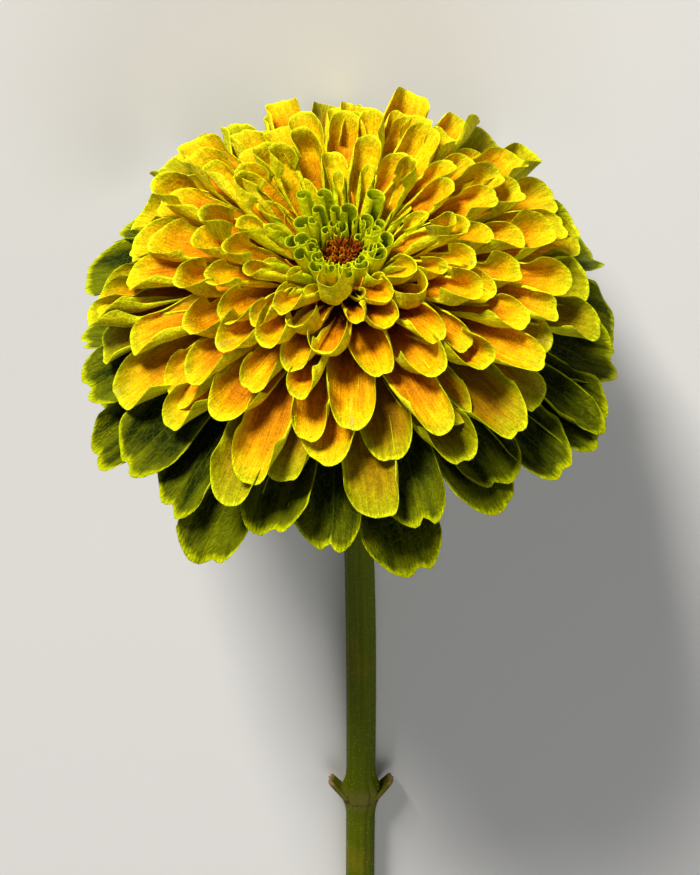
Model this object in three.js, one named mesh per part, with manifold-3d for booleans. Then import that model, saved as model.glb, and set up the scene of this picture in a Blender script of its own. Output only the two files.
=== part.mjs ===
// A cut zinnia bloom with its bare stem, lying on a flat surface.
//
// The head leans on a few of its outer petals and faces up and forward (-Y).
// The stem bends down behind it, away from the face, and lies along +Y.
// Millimetres, +Z up. Everything on the head is worked out in the head's own frame:
// its axis is local +Z, the receptacle's base is local z = 0, and local +Y is the side
// that meets the surface.

import * as THREE from 'three';
import Module from 'manifold-3d';
import { mergeVertices } from 'three/addons/utils/BufferGeometryUtils.js';

const wasm = await Module();
wasm.setup();

const DEG = Math.PI / 180;

// How the flower lies
const FACE_ELEVATION = 28 * DEG; // head axis above the horizontal
const FACE_TURN = 4 * DEG; // head axis turned sideways from the stem's line
const STEM_LENGTH = 225; // from the receptacle's base to the cut
const STEM_BEND_START = 10;
const STEM_BEND_END = 168; // flat on the surface from here on

// Stem
const STEM_SIDES = 10;
const STEM_RADIUS = 3.7; // where it lies
const STEM_NECK_RADIUS = 3.3; // at its thinnest, behind the head
const STEM_TOP_RADIUS = 4.4; // where it widens into the head
const NODE_AT = 160; // joint where two leaves were stripped
const NODE_SWELLING = 1.5; // towards the two leaves only
const NODE_HALF_LENGTH = 3.6;
const LEAF_STUB_LENGTH = 7.5;
const LEAF_STUB_HALF_WIDTH = 3;
const LEAF_STUB_THICKNESS = 1.3;

// Cup of bracts under the head
const CUP_BASE = -9;
const CUP_TOP = -0.5;
const CUP_BASE_RADIUS = 4.2;
const CUP_RADIUS = 10.8;
const CUP_SIDES = 16;
const BRACT_ROWS = [
  { count: 7, start: 0.08, length: 0.36, halfWidth: 2.6 },
  { count: 8, start: 0.40, length: 0.36, halfWidth: 3.1 },
  { count: 9, start: 0.74, length: 0.38, halfWidth: 3.2 },
];
const BRACT_THICKNESS = 1.6; // half of it is sunk in the cup

// Petals
const PETAL_THICKNESS = 0.7;
const GOLDEN_ANGLE = 137.50776405 * DEG; // each petal turns by this from the one before
const CLEARANCE = 0.65; // from a petal's middle surface to the surface between two whorls
const NOTCH_WIDTH = 0.16; // of the half width
const WIDEST_AT = 0.72; // of the length
const TIP_TAPER_END = 1.06;
const CURL_EASES_FROM = 0.2;
const FLICK_FROM = 0.6;
const WAVE_TURNS = 7.5; // radians of wave along an edge
const WAVE_SKEW = 1.1;
const WAVE_FROM = 0.3;
const TIP_CUT = 4.4; // how much shorter the edges are than the middle, for the tip's roundness

// Whorls of unlike colour part along these surfaces of revolution
const OUTER_PARTING = { radius: 9.5, height: 5.0, slope: 0.404, fall: 0.01155 };
const INNER_PARTING = { height: 13.2, radius: 7.3, spread: 0.72 };
const PARTING_SOFTNESS = 3;
const INNER_PARTING_SOFTNESS = 1;

// Cores that the petals grow from, as radius and height
const OUTER_CORE = [
  [0, -0.2], [9.4, -0.2], [9.7, 1.3], [17, 2.2], [18.5, 4.2], [16, 6.0], [9.8, 4.4], [0, 4.4],
];
const GOLD_CORE = [
  [0, 4.9], [10, 6.0], [17, 8.1], [23, 9.6], [21, 13.0], [16, 16.2], [11.5, 16.6], [8.2, 13.1], [0, 13.1],
];
const ROLLED_CORE = [[0, 13.4], [6.3, 13.4], [6.8, 14.8], [5.8, 16.2], [0, 16.2]];
const CORE_SIDES = 16;

// Chaff of the disc
const DISC_DOME = [[0, 16.5], [3.3, 16.5], [3.1, 17.3], [2.0, 18.0], [0, 18.3]];
const CHAFF_COUNT = 30;
const CHAFF_SPREAD = 2.9;
const CHAFF_HEIGHT = 1.5;
const CHAFF_RADIUS = 0.42;
const CHAFF_MIDDLE = 17.9; // height of a spike's middle, at the centre
const CHAFF_FALL = 0.09; // how fast the disc falls away from its centre
const CHAFF_LEAN = 0.1; // radians for each mm from the centre

// Each pair runs from a whorl's outermost petal to its innermost. Lengths are in mm and
// angles in degrees. rise and droop are the petal's slope at its root and at its tip.
// rootCurl and tipCurl are how far each half of its width curls up, in radians.
const OUTER = {
  first: 0, count: 27, crowding: 1.0,
  rootRadius: [9.4, 8.8], rootHeight: [1.5, 3.6], length: [50, 47], halfWidth: [8.8, 7.8],
  rise: [6, 18], droop: [-52, -34], rootCurl: [1.5, 1.7], tipCurl: [0.35, 0.55],
  evenCurl: 0.6, rootWidth: 0.30, endWidth: 0.74, tipRound: 0.24, tipPower: 2.6,
  notch: 0.022, wave: 0.05,
  vary: { length: 0.08, width: 0.10, slope: 5, curl: 0.35, twist: 12, sweep: 0.05, turn: 4, flick: 16 },
};
const GOLD = {
  first: 34, count: 80, crowding: 0.9,
  rootRadius: [9.0, 8.2], rootHeight: [6.0, 11.6], length: [44, 23], halfWidth: [5.9, 4.2],
  rise: [26, 66], droop: [-30, 22], rootCurl: [2.3, 2.7], tipCurl: [1.60, 2.05],
  evenCurl: 0.22, rootWidth: 0.52, endWidth: 0.88, tipRound: 0.20, tipPower: 2.6,
  notch: 0.012, wave: 0.09,
  vary: { length: 0.11, width: 0.14, slope: 4, curl: 0.25, twist: 16, sweep: 0.06, turn: 5, flick: 18 },
};
const ROLLED = {
  first: 156, count: 30, crowding: 0.8,
  rootRadius: [5.7, 5.2], rootHeight: [14.2, 15.2], length: [12.5, 6.0], halfWidth: [5.2, 2.4],
  rise: [44, 80], droop: [60, 92], rootCurl: [3.4, 3.3], tipCurl: [2.7, 3.1],
  evenCurl: 0.95, rootWidth: 0.50, endWidth: 0.95, tipRound: 0.12, tipPower: 2.0,
  notch: 0, wave: 0,
  vary: { length: 0.14, width: 0.25, slope: 6, curl: 0.10, twist: 30, sweep: 0.03, turn: 7, flick: 0 },
};
const ROLL_SIDES = 5;
const ROLL_STOPS = [0, 0.5, 1];
const ROLL_WALL = 0.62;
const ROLL_DEPTH = 0.55; // how far down the open mouth goes, of the length

// Irrational steps that give each petal its own variation, the same on every run
const STEP = {
  turn: 0.754877666, length: 0.569840291, width: 0.414213562, slope: 0.732050808,
  curl: 0.236067977, lopside: 0.645751311, sweep: 0.316624790, tip: 0.605551275,
  notch: 0.123105626, wave: 0.358898944, twist: 0.887482194, flick: 0.541381265,
};
const INDEX_STEP = 0.618033989;

const { clamp, lerp, smoothstep } = THREE.MathUtils;

function variation(index, key) {
  const x = STEP[key] * (index * index + index * INDEX_STEP + 1);
  return x - Math.floor(x);
}

function swing(index, key) {
  return 2 * variation(index, key) - 1;
}

// Integral from 0 to x of a smooth function, by Simpson's rule on four steps
function integral(f, x) {
  return (x / 12) * (f(0) + 4 * f(x / 4) + 2 * f(x / 2) + 4 * f((3 * x) / 4) + f(x));
}

// Rises smoothly from 0 to x: never below 0, and close to x well above it
function softRise(x, softness) {
  return (x + Math.sqrt(x * x + softness * softness)) / 2;
}

// Like softRise, but exactly 0 for x below -softness and exactly x above softness
function softStep(x, softness) {
  const inner = clamp(x, -softness, softness) + softness;
  return (inner * inner) / (4 * softness) + Math.max(x - softness, 0);
}

// The stem's centre line, from the receptacle's base, in the frame of the surface
function stemSlope(s) {
  return FACE_ELEVATION * (1 - clamp((s - STEM_BEND_START) / (STEM_BEND_END - STEM_BEND_START), 0, 1));
}

function stemTurn(s) {
  return FACE_TURN * (1 - smoothstep(s, STEM_BEND_START, STEM_BEND_END));
}

function stemDirection(s) {
  const slope = stemSlope(s);
  const turn = stemTurn(s);
  return new THREE.Vector3(
    -Math.cos(slope) * Math.sin(turn), Math.cos(slope) * Math.cos(turn), -Math.sin(slope));
}

const STEM_STEP = 1;
const stemLine = [new THREE.Vector3()];
for (let s = 0; s < STEM_LENGTH; s += STEM_STEP) {
  const last = stemLine[stemLine.length - 1];
  stemLine.push(last.clone().addScaledVector(stemDirection(s + STEM_STEP / 2), STEM_STEP));
}
const stemFloor = STEM_RADIUS * Math.cos(Math.PI / STEM_SIDES);
const HEAD_HEIGHT = stemFloor - stemLine[stemLine.length - 1].z;

function stemPoint(s) {
  const at = clamp(s / STEM_STEP, 0, stemLine.length - 1.001);
  const index = Math.floor(at);
  return stemLine[index].clone().lerp(stemLine[index + 1], at - index);
}

// The surface between the outer and the gold petals: height for a radius
function outerParting(radius) {
  const out = radius - OUTER_PARTING.radius;
  return OUTER_PARTING.height + OUTER_PARTING.slope * out - OUTER_PARTING.fall * out * out;
}

// The surface between the gold and the rolled petals: radius for a height
function innerParting(height) {
  return INNER_PARTING.radius + INNER_PARTING.spread * Math.max(height - INNER_PARTING.height, 0);
}

// Height above the surface that the flower lies on, for a point of the head
function heightAbove(point) {
  return HEAD_HEIGHT - Math.cos(FACE_ELEVATION) * point.y + Math.sin(FACE_ELEVATION) * point.z;
}

const UP = new THREE.Vector3(0, -Math.cos(FACE_ELEVATION), Math.sin(FACE_ELEVATION));
const BACK = new THREE.Vector3(0, -Math.sin(FACE_ELEVATION), -Math.cos(FACE_ELEVATION));

// Petals that would go through the surface bend along it, back under the head
const FLOOR_SOFTNESS = 2;
const FLOOR_SLIDE = 0.7;
const FLOOR_LAYER = 0.9; // the inner outer petals lie on the outermost ones
const FLOOR_SETTLE = 0.35; // corners lower than this lie on the surface
function bendAtFloor(point, index) {
  const clear = PETAL_THICKNESS / 2 + (index < OUTER.count / 2 ? 0 : FLOOR_LAYER);
  const height = heightAbove(point) - clear;
  const lift = softStep(height, FLOOR_SOFTNESS) - height;
  point.addScaledVector(UP, lift).addScaledVector(BACK, lift * FLOOR_SLIDE);
}

function bendClear(point, whorl) {
  const radius = Math.hypot(point.x, point.y);
  if (whorl === OUTER) {
    const limit = outerParting(radius) - CLEARANCE;
    point.z = limit - softRise(limit - point.z, PARTING_SOFTNESS);
    return;
  }
  let reach;
  if (whorl === GOLD) {
    const limit = outerParting(radius) + CLEARANCE;
    point.z = limit + softRise(point.z - limit, PARTING_SOFTNESS);
    const inner = innerParting(point.z) + CLEARANCE;
    reach = inner + softRise(radius - inner, INNER_PARTING_SOFTNESS);
  } else {
    const outer = innerParting(point.z) - CLEARANCE;
    reach = outer - softRise(outer - radius, INNER_PARTING_SOFTNESS);
  }
  point.x *= reach / radius;
  point.y *= reach / radius;
}

function settleOnFloor(geometry) {
  const position = geometry.attributes.position;
  const point = new THREE.Vector3();
  for (let k = 0; k < position.count; k += 1) {
    const height = heightAbove(point.fromBufferAttribute(position, k));
    if (height > FLOOR_SETTLE) continue;
    point.addScaledVector(UP, -height);
    position.setXYZ(k, point.x, point.y, point.z);
  }
  return geometry;
}

// A petal of a whorl, as what does not change over it
function petalShape(whorl, index) {
  const t = Math.pow((index - whorl.first) / (whorl.count - 1), whorl.crowding);
  const between = (pair) => lerp(pair[0], pair[1], t);
  const vary = whorl.vary;
  const slope = vary.slope * DEG * swing(index, 'slope');
  return {
    index,
    whorl,
    turn: index * GOLDEN_ANGLE + vary.turn * DEG * swing(index, 'turn'),
    rootRadius: between(whorl.rootRadius),
    rootHeight: between(whorl.rootHeight),
    length: between(whorl.length) * (1 + vary.length * swing(index, 'length')),
    halfWidth: between(whorl.halfWidth) * (1 + vary.width * swing(index, 'width')),
    rise: between(whorl.rise) * DEG + 0.5 * slope,
    droop: between(whorl.droop) * DEG + 1.6 * slope,
    rootCurl: between(whorl.rootCurl),
    tipCurl: between(whorl.tipCurl) * (1 + vary.curl * swing(index, 'curl')),
    lopside: 0.5 * (1 - whorl.evenCurl) * swing(index, 'lopside'),
    twist: vary.twist * DEG * swing(index, 'twist'),
    flick: vary.flick * DEG * swing(index, 'flick'),
    sweep: vary.sweep * swing(index, 'sweep'),
    notch: whorl.notch * (0.4 + 1.6 * variation(index, 'notch')),
    notchAt: 0.35 * swing(index, 'tip'),
    wavePhase: 2 * Math.PI * variation(index, 'wave'),
  };
}

// A point of a petal's middle surface: u runs from root to tip, v across from -1 to 1
function petalPoint(petal, u, v) {
  const whorl = petal.whorl;
  const tipDrop = whorl.tipRound * Math.pow(Math.abs(v), whorl.tipPower)
    + petal.notch * Math.exp(-Math.pow((v - petal.notchAt) / NOTCH_WIDTH, 2));
  const s = u * (1 - TIP_CUT * tipDrop * (petal.halfWidth / petal.length) * u * u * u);
  const width = petal.halfWidth * lerp(whorl.rootWidth, 1, smoothstep(s, 0, WIDEST_AT))
    * lerp(1, whorl.endWidth, smoothstep(s, WIDEST_AT, TIP_TAPER_END));
  const slopeAt = (q) => lerp(petal.rise, petal.droop, q) + petal.flick * smoothstep(q, FLICK_FROM, 1);
  const along = petal.length * integral((q) => Math.cos(slopeAt(q)), s);
  const raised = petal.length * integral((q) => Math.sin(slopeAt(q)), s);
  const curl = lerp(petal.rootCurl, petal.tipCurl, smoothstep(s, CURL_EASES_FROM, 1));
  const even = whorl.evenCurl;
  const curlAt = (q) => curl * (even * q + (1 - even) * q * q * q) * (1 + petal.lopside * q);
  let across = width * integral((q) => Math.cos(curlAt(q)), v);
  let lift = width * integral((q) => Math.sin(curlAt(q)), v);
  lift += 2 * whorl.wave * petal.halfWidth * Math.sin(WAVE_TURNS * s + petal.wavePhase + WAVE_SKEW * v)
    * v * v * smoothstep(s, WAVE_FROM, 1);
  const twist = petal.twist * s;
  [across, lift] = [
    across * Math.cos(twist) - lift * Math.sin(twist),
    across * Math.sin(twist) + lift * Math.cos(twist),
  ];
  across += petal.sweep * petal.length * s * s;
  const slope = slopeAt(s);
  const radius = petal.rootRadius + along - Math.sin(slope) * lift;
  const point = new THREE.Vector3(
    radius * Math.cos(petal.turn) - across * Math.sin(petal.turn),
    radius * Math.sin(petal.turn) + across * Math.cos(petal.turn),
    petal.rootHeight + raised + Math.cos(slope) * lift);
  bendClear(point, whorl);
  if (whorl === OUTER) bendAtFloor(point, petal.index);
  return point;
}

const NEARBY = 0.01; // step in u and v that directions are taken over

// A closed sheet of even thickness over a grid of points, split alike on both faces
function blade(pointAt, uStops, vStops, thickness) {
  const upper = [];
  const lower = [];
  for (const u of uStops) {
    for (const v of vStops) {
      const point = pointAt(u, v);
      const along = pointAt(u + NEARBY, v).sub(pointAt(u - NEARBY, v));
      const across = pointAt(u, v + NEARBY).sub(pointAt(u, v - NEARBY));
      const normal = along.cross(across).normalize().multiplyScalar(thickness / 2);
      upper.push(point.clone().add(normal));
      lower.push(point.clone().sub(normal));
    }
  }
  const rows = uStops.length;
  const columns = vStops.length;
  const half = rows * columns;
  const faces = [];
  for (let row = 0; row + 1 < rows; row += 1) {
    for (let column = 0; column + 1 < columns; column += 1) {
      const a = row * columns + column;
      const b = a + 1;
      const c = a + columns;
      const d = c + 1;
      faces.push(a, c, b, b, c, d);
      faces.push(half + a, half + b, half + c, half + b, half + d, half + c);
    }
  }
  const edge = [];
  for (let column = 0; column < columns; column += 1) edge.push(column);
  for (let row = 1; row < rows; row += 1) edge.push(row * columns + columns - 1);
  for (let column = columns - 2; column >= 0; column -= 1) edge.push((rows - 1) * columns + column);
  for (let row = rows - 2; row > 0; row -= 1) edge.push(row * columns);
  edge.forEach((a, k) => {
    const b = edge[(k + 1) % edge.length];
    faces.push(a, b, half + a, b, half + b, half + a);
  });
  return geometryOf([...upper, ...lower], faces);
}

// A closed solid through rings of points, each ring with the same count
function loft(rings) {
  const sides = rings[0].length;
  const faces = [];
  for (let ring = 0; ring + 1 < rings.length; ring += 1) {
    for (let k = 0; k < sides; k += 1) {
      const a = ring * sides + k;
      const b = ring * sides + ((k + 1) % sides);
      faces.push(a, b, a + sides, b, b + sides, a + sides);
    }
  }
  const last = (rings.length - 1) * sides;
  for (let k = 1; k + 1 < sides; k += 1) {
    faces.push(0, k + 1, k);
    faces.push(last, last + k, last + k + 1);
  }
  return geometryOf(rings.flat(), faces);
}

function geometryOf(points, faces) {
  const geometry = new THREE.BufferGeometry().setFromPoints(points);
  geometry.setIndex(faces);
  return geometry;
}

function solidOf(geometry) {
  const bare = geometry.clone();
  bare.deleteAttribute('normal');
  bare.deleteAttribute('uv');
  const merged = mergeVertices(bare);
  return new wasm.Manifold(new wasm.Mesh({
    numProp: 3,
    vertProperties: new Float32Array(merged.attributes.position.array),
    triVerts: new Uint32Array(merged.index.array),
  }));
}

function joined(geometries) {
  let solids = geometries.map(solidOf);
  while (solids.length > 1) {
    const next = [];
    for (let k = 0; k < solids.length; k += 2) {
      next.push(k + 1 < solids.length ? solids[k].add(solids[k + 1]) : solids[k]);
    }
    solids = next;
  }
  const [whole] = solids[0].decompose().sort((a, b) => b.volume() - a.volume());
  const mesh = whole.getMesh();
  const geometry = new THREE.BufferGeometry();
  geometry.setAttribute('position', new THREE.BufferAttribute(mesh.vertProperties, 3));
  geometry.setIndex(new THREE.BufferAttribute(mesh.triVerts, 1));
  return geometry;
}

// A solid of revolution about the head's axis
function turned(profile, sides) {
  const lathe = new THREE.LatheGeometry(profile.map(([r, z]) => new THREE.Vector2(r, z)), sides);
  return lathe.rotateX(90 * DEG);
}

function indices(whorl) {
  return Array.from({ length: whorl.count }, (_, k) => whorl.first + k);
}

function petals(whorl, core, uStops, vStops) {
  const blades = indices(whorl).map((index) => {
    const petal = petalShape(whorl, index);
    return settleOnFloor(blade((u, v) => petalPoint(petal, u, v), uStops, vStops, PETAL_THICKNESS));
  });
  return joined([turned(core, CORE_SIDES), ...blades]);
}

// The young petals round the disc are still rolled up: each is a widening tube, open on top
function rolledPetal(index) {
  const petal = petalShape(ROLLED, index);
  const ringAt = (u, inset) => {
    const middle = petalPoint(petal, u, 0);
    const along = petalPoint(petal, u + NEARBY, 0).sub(petalPoint(petal, u - NEARBY, 0)).normalize();
    const side = new THREE.Vector3(-Math.sin(petal.turn), Math.cos(petal.turn), 0);
    const inward = along.clone().cross(side).normalize();
    const round = petal.halfWidth * lerp(ROLLED.rootWidth, 1, smoothstep(u, 0, WIDEST_AT)) / Math.PI;
    const centre = middle.addScaledVector(inward, round);
    return Array.from({ length: ROLL_SIDES }, (_, k) => {
      const angle = (2 * Math.PI * k) / ROLL_SIDES;
      const point = centre.clone()
        .addScaledVector(side, (round - inset) * Math.cos(angle))
        .addScaledVector(inward, (round - inset) * Math.sin(angle));
      if (inset === 0) bendClear(point, ROLLED);
      return point;
    });
  };
  const rings = ROLL_STOPS.map((u) => ringAt(u, 0));
  const wall = Math.min(ROLL_WALL, 0.55 * petal.halfWidth / Math.PI);
  rings.push(ringAt(1, wall), ringAt(1 - ROLL_DEPTH, wall));
  return loft(rings);
}

function stemRadius(s) {
  const thin = lerp(STEM_NECK_RADIUS, STEM_RADIUS, smoothstep(s, 40, 120));
  const flare = (STEM_TOP_RADIUS - STEM_NECK_RADIUS) * (1 - smoothstep(s, -CUP_BASE, 40));
  return thin + flare;
}

function stemHalfWidth(s) {
  return stemRadius(s) + NODE_SWELLING * Math.exp(-Math.pow((s - NODE_AT) / NODE_HALF_LENGTH, 2));
}

function stemRing(s) {
  const centre = stemPoint(s);
  const along = stemDirection(s);
  const side = new THREE.Vector3(along.y, -along.x, 0).normalize();
  const above = side.clone().cross(along);
  return Array.from({ length: STEM_SIDES }, (_, k) => {
    const angle = -(2 * Math.PI * (k + 0.5)) / STEM_SIDES - Math.PI / 2;
    return centre.clone()
      .addScaledVector(side, stemHalfWidth(s) * Math.cos(angle))
      .addScaledVector(above, stemRadius(s) * Math.sin(angle));
  });
}

// What is left of a stripped leaf: a short torn scale that clasps the stem
function leafStub(hand) {
  const base = NODE_AT + 2;
  return blade((u, v) => {
    const s = base - u * LEAF_STUB_LENGTH * 0.7 - 0.8 * v * v;
    const along = stemDirection(s);
    const side = new THREE.Vector3(along.y, -along.x, 0).normalize();
    const above = side.clone().cross(along);
    const out = stemHalfWidth(NODE_AT) - 1.1 + u * LEAF_STUB_LENGTH * 0.55 - 0.9 * v * v;
    return stemPoint(s)
      .addScaledVector(side, hand * out)
      .addScaledVector(above, v * LEAF_STUB_HALF_WIDTH * (1 - 0.35 * u));
  }, [0, 0.5, 1], [-1, 0, 1], LEAF_STUB_THICKNESS);
}

function stemGeometry() {
  const stops = [-CUP_BASE + 0.3, 14, 20, 30, 45, 60, 75, 90, 105, 120, 135, 148];
  stops.push(NODE_AT - 3.6, NODE_AT - 1.4, NODE_AT + 1.4, NODE_AT + 3.6, STEM_BEND_END);
  stops.push(200, STEM_LENGTH);
  return joined([loft(stops.map(stemRing)), leafStub(1), leafStub(-1)]);
}

// The cup's wall, from its base (0) to its rim (1) and on past it
function cupWall(p) {
  const angle = Math.min(p, 1) * 90 * DEG;
  return [
    lerp(CUP_BASE_RADIUS, CUP_RADIUS, Math.sin(angle)),
    lerp(CUP_BASE, CUP_TOP, 1 - Math.cos(angle)) + Math.max(p - 1, 0) * (CUP_TOP - CUP_BASE),
  ];
}

function bract(row, k, rowIndex) {
  const turn = (2 * Math.PI * (k + 0.5 * (rowIndex % 2))) / row.count;
  return blade((u, v) => {
    const p = row.start + row.length * u * (1 - 0.22 * v * v);
    const [radius, height] = cupWall(p);
    const out = radius - 0.3 + 0.8 * u - 0.25 * v * v;
    const angle = turn + (v * row.halfWidth * (1 - 0.3 * u * u)) / radius;
    return new THREE.Vector3(out * Math.cos(angle), out * Math.sin(angle), height - 0.1);
  }, [0, 1], [-1, -0.4, 0.4, 1], BRACT_THICKNESS);
}

function involucreGeometry() {
  const wall = [0, 0.33, 0.67, 1].map(cupWall);
  const cup = turned([[0, CUP_BASE], ...wall, [0, CUP_TOP]], CUP_SIDES);
  const bracts = BRACT_ROWS.flatMap((row, rowIndex) => (
    Array.from({ length: row.count }, (_, k) => bract(row, k, rowIndex))));
  return joined([cup, ...bracts]);
}

function discGeometry() {
  const chaff = Array.from({ length: CHAFF_COUNT }, (_, k) => {
    const radius = CHAFF_SPREAD * Math.sqrt((k + 0.5) / CHAFF_COUNT);
    const spike = new THREE.ConeGeometry(CHAFF_RADIUS, CHAFF_HEIGHT, 4);
    spike.rotateX(90 * DEG);
    spike.rotateY(CHAFF_LEAN * radius);
    spike.translate(radius, 0, CHAFF_MIDDLE - CHAFF_FALL * radius * radius);
    return spike.rotateZ(k * GOLDEN_ANGLE);
  });
  return joined([turned(DISC_DOME, CORE_SIDES), ...chaff]);
}

function finish(color, roughness) {
  return new THREE.MeshStandardMaterial({ color, roughness, metalness: 0 });
}

function named(name, geometry, material) {
  const mesh = new THREE.Mesh(geometry, material);
  mesh.name = name;
  return mesh;
}

const head = new THREE.Group();
head.rotation.order = 'ZYX';
head.rotation.set(FACE_ELEVATION - 90 * DEG, 0, 180 * DEG + FACE_TURN);
head.position.set(0, 0, HEAD_HEIGHT);
head.add(
  named('involucre', involucreGeometry(), finish(0x5d7a22, 0.7)),
  named('outer_petals', petals(OUTER, OUTER_CORE, [0.16, 0.42, 0.7, 1], [-1, -0.4, 0.4, 1]),
    finish(0x4f6b14, 0.65)),
  named('gold_petals', petals(GOLD, GOLD_CORE, [0.28, 0.64, 1], [-1, -0.5, 0.5, 1]),
    finish(0xe8a80c, 0.6)),
  named('rolled_petals', joined([turned(ROLLED_CORE, CORE_SIDES), ...indices(ROLLED).map(rolledPetal)]),
    finish(0x9cc02a, 0.6)),
  named('disc', discGeometry(), finish(0x7a2b10, 0.8)),
);

const stem = named('stem', stemGeometry(), finish(0x6d7d1e, 0.65));
stem.position.set(0, 0, HEAD_HEIGHT);

const flower = new THREE.Group();
flower.add(head, stem);
flower.updateMatrixWorld(true);
const extent = new THREE.Box3().setFromObject(flower, true);
const middle = extent.getCenter(new THREE.Vector3());
flower.position.set(-middle.x, -middle.y, 0);

export default flower;
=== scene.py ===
# A cut zinnia bloom lying on its bare bent stem, seen from above its face.
#
# Sizes are in millimetres in the head's own frame: its axis is local +Z, the receptacle's base is
# local z = 0, and local +Y is the side that meets the surface. HEAD_PLACE takes that frame to the
# surface's frame, in metres.

import math

import bmesh
import bpy
from mathutils import Matrix, Vector


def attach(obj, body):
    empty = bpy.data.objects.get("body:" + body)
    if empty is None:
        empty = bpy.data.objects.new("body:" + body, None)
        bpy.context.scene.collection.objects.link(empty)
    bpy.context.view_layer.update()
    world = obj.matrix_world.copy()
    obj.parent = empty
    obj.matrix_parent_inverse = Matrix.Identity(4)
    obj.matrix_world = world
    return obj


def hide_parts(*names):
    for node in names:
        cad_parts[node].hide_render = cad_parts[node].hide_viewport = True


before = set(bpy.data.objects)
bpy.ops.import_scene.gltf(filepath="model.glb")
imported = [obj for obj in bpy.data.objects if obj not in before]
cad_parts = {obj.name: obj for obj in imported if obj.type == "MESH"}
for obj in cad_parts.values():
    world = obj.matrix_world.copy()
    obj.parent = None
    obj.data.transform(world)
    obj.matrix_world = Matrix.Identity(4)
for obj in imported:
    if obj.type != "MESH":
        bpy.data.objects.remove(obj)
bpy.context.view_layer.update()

MM = 0.001
GOLDEN_ANGLE = math.radians(137.50776405)

# How the flower lies
FACE_ELEVATION = math.radians(28)
FACE_TURN = math.radians(4)
HEAD_BASE = Vector((1.344, -89.447, 46.058))
HEAD_PLACE = (
    Matrix.Scale(MM, 4)
    @ Matrix.Translation(HEAD_BASE)
    @ Matrix.Rotation(math.pi + FACE_TURN, 4, "Z")
    @ Matrix.Rotation(FACE_ELEVATION - math.pi / 2, 4, "X")
)
# Up from the surface, and back along it under the head, in the head's own frame
FLOOR_UP = (0, -math.cos(FACE_ELEVATION), math.sin(FACE_ELEVATION))
FLOOR_BACK = (0, -math.sin(FACE_ELEVATION), -math.cos(FACE_ELEVATION))

# Stem, by the length along it from the receptacle's base
STEM_LENGTH = 225
STEM_BEND = (10, 168)
STEM_START = 8.4
STEM_RADIUS = 3.55
STEM_NECK_RADIUS = 3.2
STEM_TOP_RADIUS = 4.4
STEM_TOP_END = 9
STEM_NECK_AT = 40
STEM_FULL_AT = 120
STEM_RIBS = 11
NODE_AT = 160
NODE_SWELLING = 1.5
NODE_HALF_LENGTH = 3.6
CUT_DEPTH = 0.3
CUT_STEPS = (0.15, 0.4, 0.7, 0.9, 1.0)

# Cup of bracts under the head
CUP_BASE = -9.0
CUP_TOP = -0.5
CUP_BASE_RADIUS = 4.2
CUP_RADIUS = 10.8
BRACT_ROWS = [
    {"count": 6, "start": 0.05, "length": 0.36, "half width": 2.9, "turn": 0.0},
    {"count": 7, "start": 0.20, "length": 0.40, "half width": 3.4, "turn": 0.5},
    {"count": 8, "start": 0.40, "length": 0.44, "half width": 3.9, "turn": 0.2},
    {"count": 9, "start": 0.62, "length": 0.44, "half width": 4.2, "turn": 0.7},
    {"count": 10, "start": 0.84, "length": 0.42, "half width": 4.2, "turn": 0.4},
]

# Petals
NOTCH_WIDTH = 0.16
WIDEST_AT = 0.8
TIP_TAPER_END = 1.06
CURL_EASES_FROM = 0.3
FLICK_FROM = 0.6
LIP_FROM = 0.83
WAVE_TURNS = 7.5
WAVE_SKEW = 1.1
WAVE_FROM = 0.3
TIP_CUT = 4.4
SHELTERED_TWIST = 0.4

# How much of a petal's variation is its own, and how much it shares with its neighbours
OWN_SLOPE = 0.28
SHARED_SLOPE = 3.0
SLOPE_AT_ROOT = 0.5
SLOPE_AT_TIP = 1.6
OWN_FLICK = 0.35
SHARED_FLICK = 2.4

# Outer and gold petals part along this surface of revolution
OUTER_PARTING = {"radius": 9.5, "height": 5.0, "slope": 0.404, "fall": 0.01155}
CLEARANCE = 0.2
PARTING_SOFTNESS = 1.2

# Petals that reach the surface bend along it, in two layers
FLOOR_SOFTNESS = 2
FLOOR_SLIDE = 0.7
FLOOR_LAYER = 0.9

# Rows and columns are the grid of a petal's face, along and across it. Each pair runs from the
# outermost petal of a whorl to the innermost, and crowding above 1 keeps more of the petals like
# the outermost. Thickness, root radius and height, length, half width, lip and crumple are in mm,
# and so are layers, the height from the surface between the outer and the gold petals. Rise and
# droop are the slope at the root and at the tip, and they, slope, twist, turn and flick are in
# degrees. Curl, roll and fold are radians by which each half of the width curls up. Even curl is
# the share of the curl that is even across it, and lopside how unlike the two halves are. The
# rest are shares of the petal's own width or length, and vary is the swing of a value both ways.
PLAIN = {
    "roll": (0.0, 0.0), "tip power": 2.0, "notch": 0.0, "wave": 0.0, "lip": 0.0, "lopside": 0.0,
    "fold": 0.0,
}
OUTER = {
    "first": 0, "count": 34, "rows": 30, "columns": 23, "crowding": 1.0, "thickness": 0.42,
    "root radius": (9.4, 8.8), "root height": (1.5, 3.6), "layers": (-6.0, 0.0),
    "length": (51.5, 48), "half width": (8.8, 8.0), "rise": (6, 18), "droop": (-52, -34),
    "root curl": (1.2, 1.4), "tip curl": (0.75, 1.05), "even curl": (0.45, 0.45),
    "roll": (0.5, 0.5), "root width": 0.30, "end width": 0.90, "tip round": 0.25,
    "tip power": 2.5, "notch": 0.03, "wave": 0.15, "lip": 2.0, "crumple": 3.4,
    "lopside": 0.1, "vary lopside": 0.2,
    "vary length": 0.08, "vary width": 0.10, "vary slope": 8, "vary curl": 0.45,
    "vary twist": 18, "vary sweep": 0.07, "vary turn": 4, "vary flick": 20, "fold": 0.3,
}
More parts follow.
